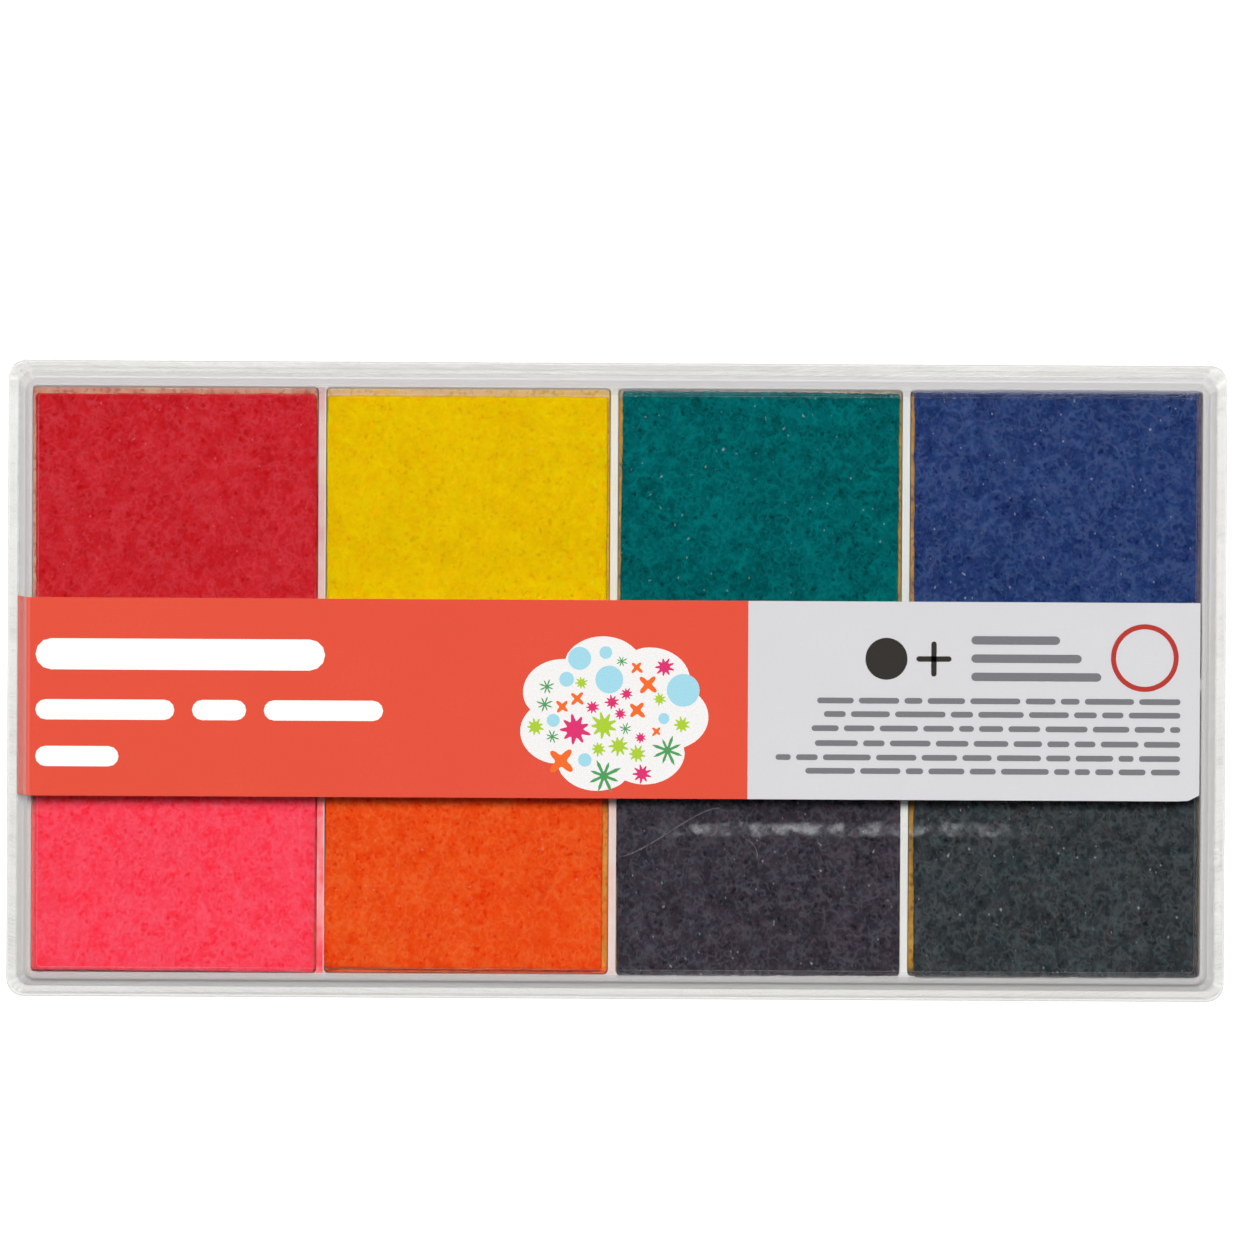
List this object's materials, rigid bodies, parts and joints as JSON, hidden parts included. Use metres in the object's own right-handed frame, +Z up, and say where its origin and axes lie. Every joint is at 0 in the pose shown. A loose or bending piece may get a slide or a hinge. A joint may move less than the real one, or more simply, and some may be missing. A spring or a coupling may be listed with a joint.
{
  "type": "ink pad",
  "caption": "Flat multi-colour ink pad: square felt pads on boards in a ribbed white tray, under a clear lift-off lid with a raised middle and a paper label strip.",
  "frame": {"origin": "middle of the tray's footprint, on the plane of its bottom rim", "axes": "+X along the case's length, with the charcoal pad on the +X side; +Y across the case, towards the row with the red pad; +Z up, through the lid"},
  "size_m": [0.18, 0.094, 0.0156],
  "materials": {
    "tray": "white moulded polystyrene, satin gloss",
    "lid": "clear moulded polystyrene, polished",
    "label": "glossy printed paper, tomato red with a light grey end",
    "backing": "undyed tan pressed fibre board",
    "felt_red": "ink-soaked needled felt, red",
    "felt_yellow": "ink-soaked needled felt, yellow",
    "felt_green": "ink-soaked needled felt, green",
    "felt_blue": "ink-soaked needled felt, blue",
    "felt_pink": "ink-soaked needled felt, pink",
    "felt_orange": "ink-soaked needled felt, orange",
    "felt_aubergine": "ink-soaked needled felt, aubergine",
    "felt_charcoal": "ink-soaked needled felt, charcoal"
  },
  "bodies": {
    "base": {"tray": "tray", "felt_red": "felt_red", "felt_yellow": "felt_yellow", "felt_green": "felt_green", "felt_blue": "felt_blue", "felt_pink": "felt_pink", "felt_orange": "felt_orange", "felt_aubergine": "felt_aubergine", "felt_charcoal": "felt_charcoal", "backing_red": "backing", "backing_yellow": "backing", "backing_green": "backing", "backing_blue": "backing", "backing_pink": "backing", "backing_orange": "backing", "backing_aubergine": "backing", "backing_charcoal": "backing"},
    "cover": {"lid": "lid", "label": "label"}
  },
  "joints": [
    {"name": "lid_lift", "type": "slide", "parent": "base", "child": "cover", "axis": [0, 0, 1], "range_m": [0, 0.04]}
  ]
}
